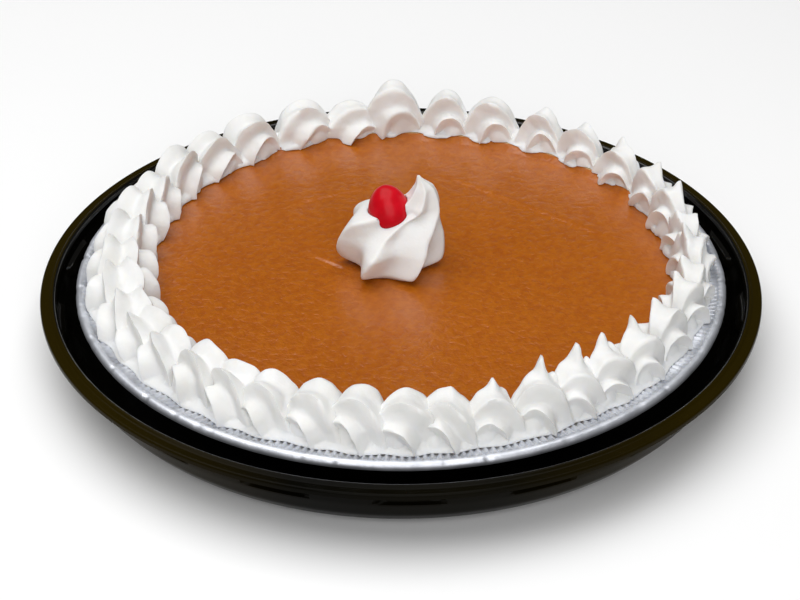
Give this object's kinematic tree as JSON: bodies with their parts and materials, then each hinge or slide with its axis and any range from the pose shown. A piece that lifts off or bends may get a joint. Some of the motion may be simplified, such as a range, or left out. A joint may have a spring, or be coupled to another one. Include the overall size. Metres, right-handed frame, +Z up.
{
  "type": "guava pie",
  "caption": "Round pie with a smooth guava filling, a piped cream border, a cream rosette and a cherry, in a rolled-edge foil pan set in a black lock-rim tray.",
  "frame": {"origin": "centre of the tray's flat underside, on the surface that it rests on", "axes": "+Z up; -Y towards the viewer's side of the picture; the tall peak of the rosette leans to +X"},
  "size_m": [0.2816, 0.2816, 0.0628],
  "materials": {
    "tray": "glossy black thermoformed plastic",
    "foil_pan": "bright crimped foil",
    "filling": "smooth set filling with a thin glossy skin",
    "cream_border": "soft whipped cream",
    "cream_rosette": "soft whipped cream",
    "cherry": "glossy candied fruit"
  },
  "bodies": {
    "root": {"tray": "tray", "foil_pan": "foil_pan", "filling": "filling", "cream_border": "cream_border", "cream_rosette": "cream_rosette", "cherry": "cherry"}
  },
  "joints": []
}
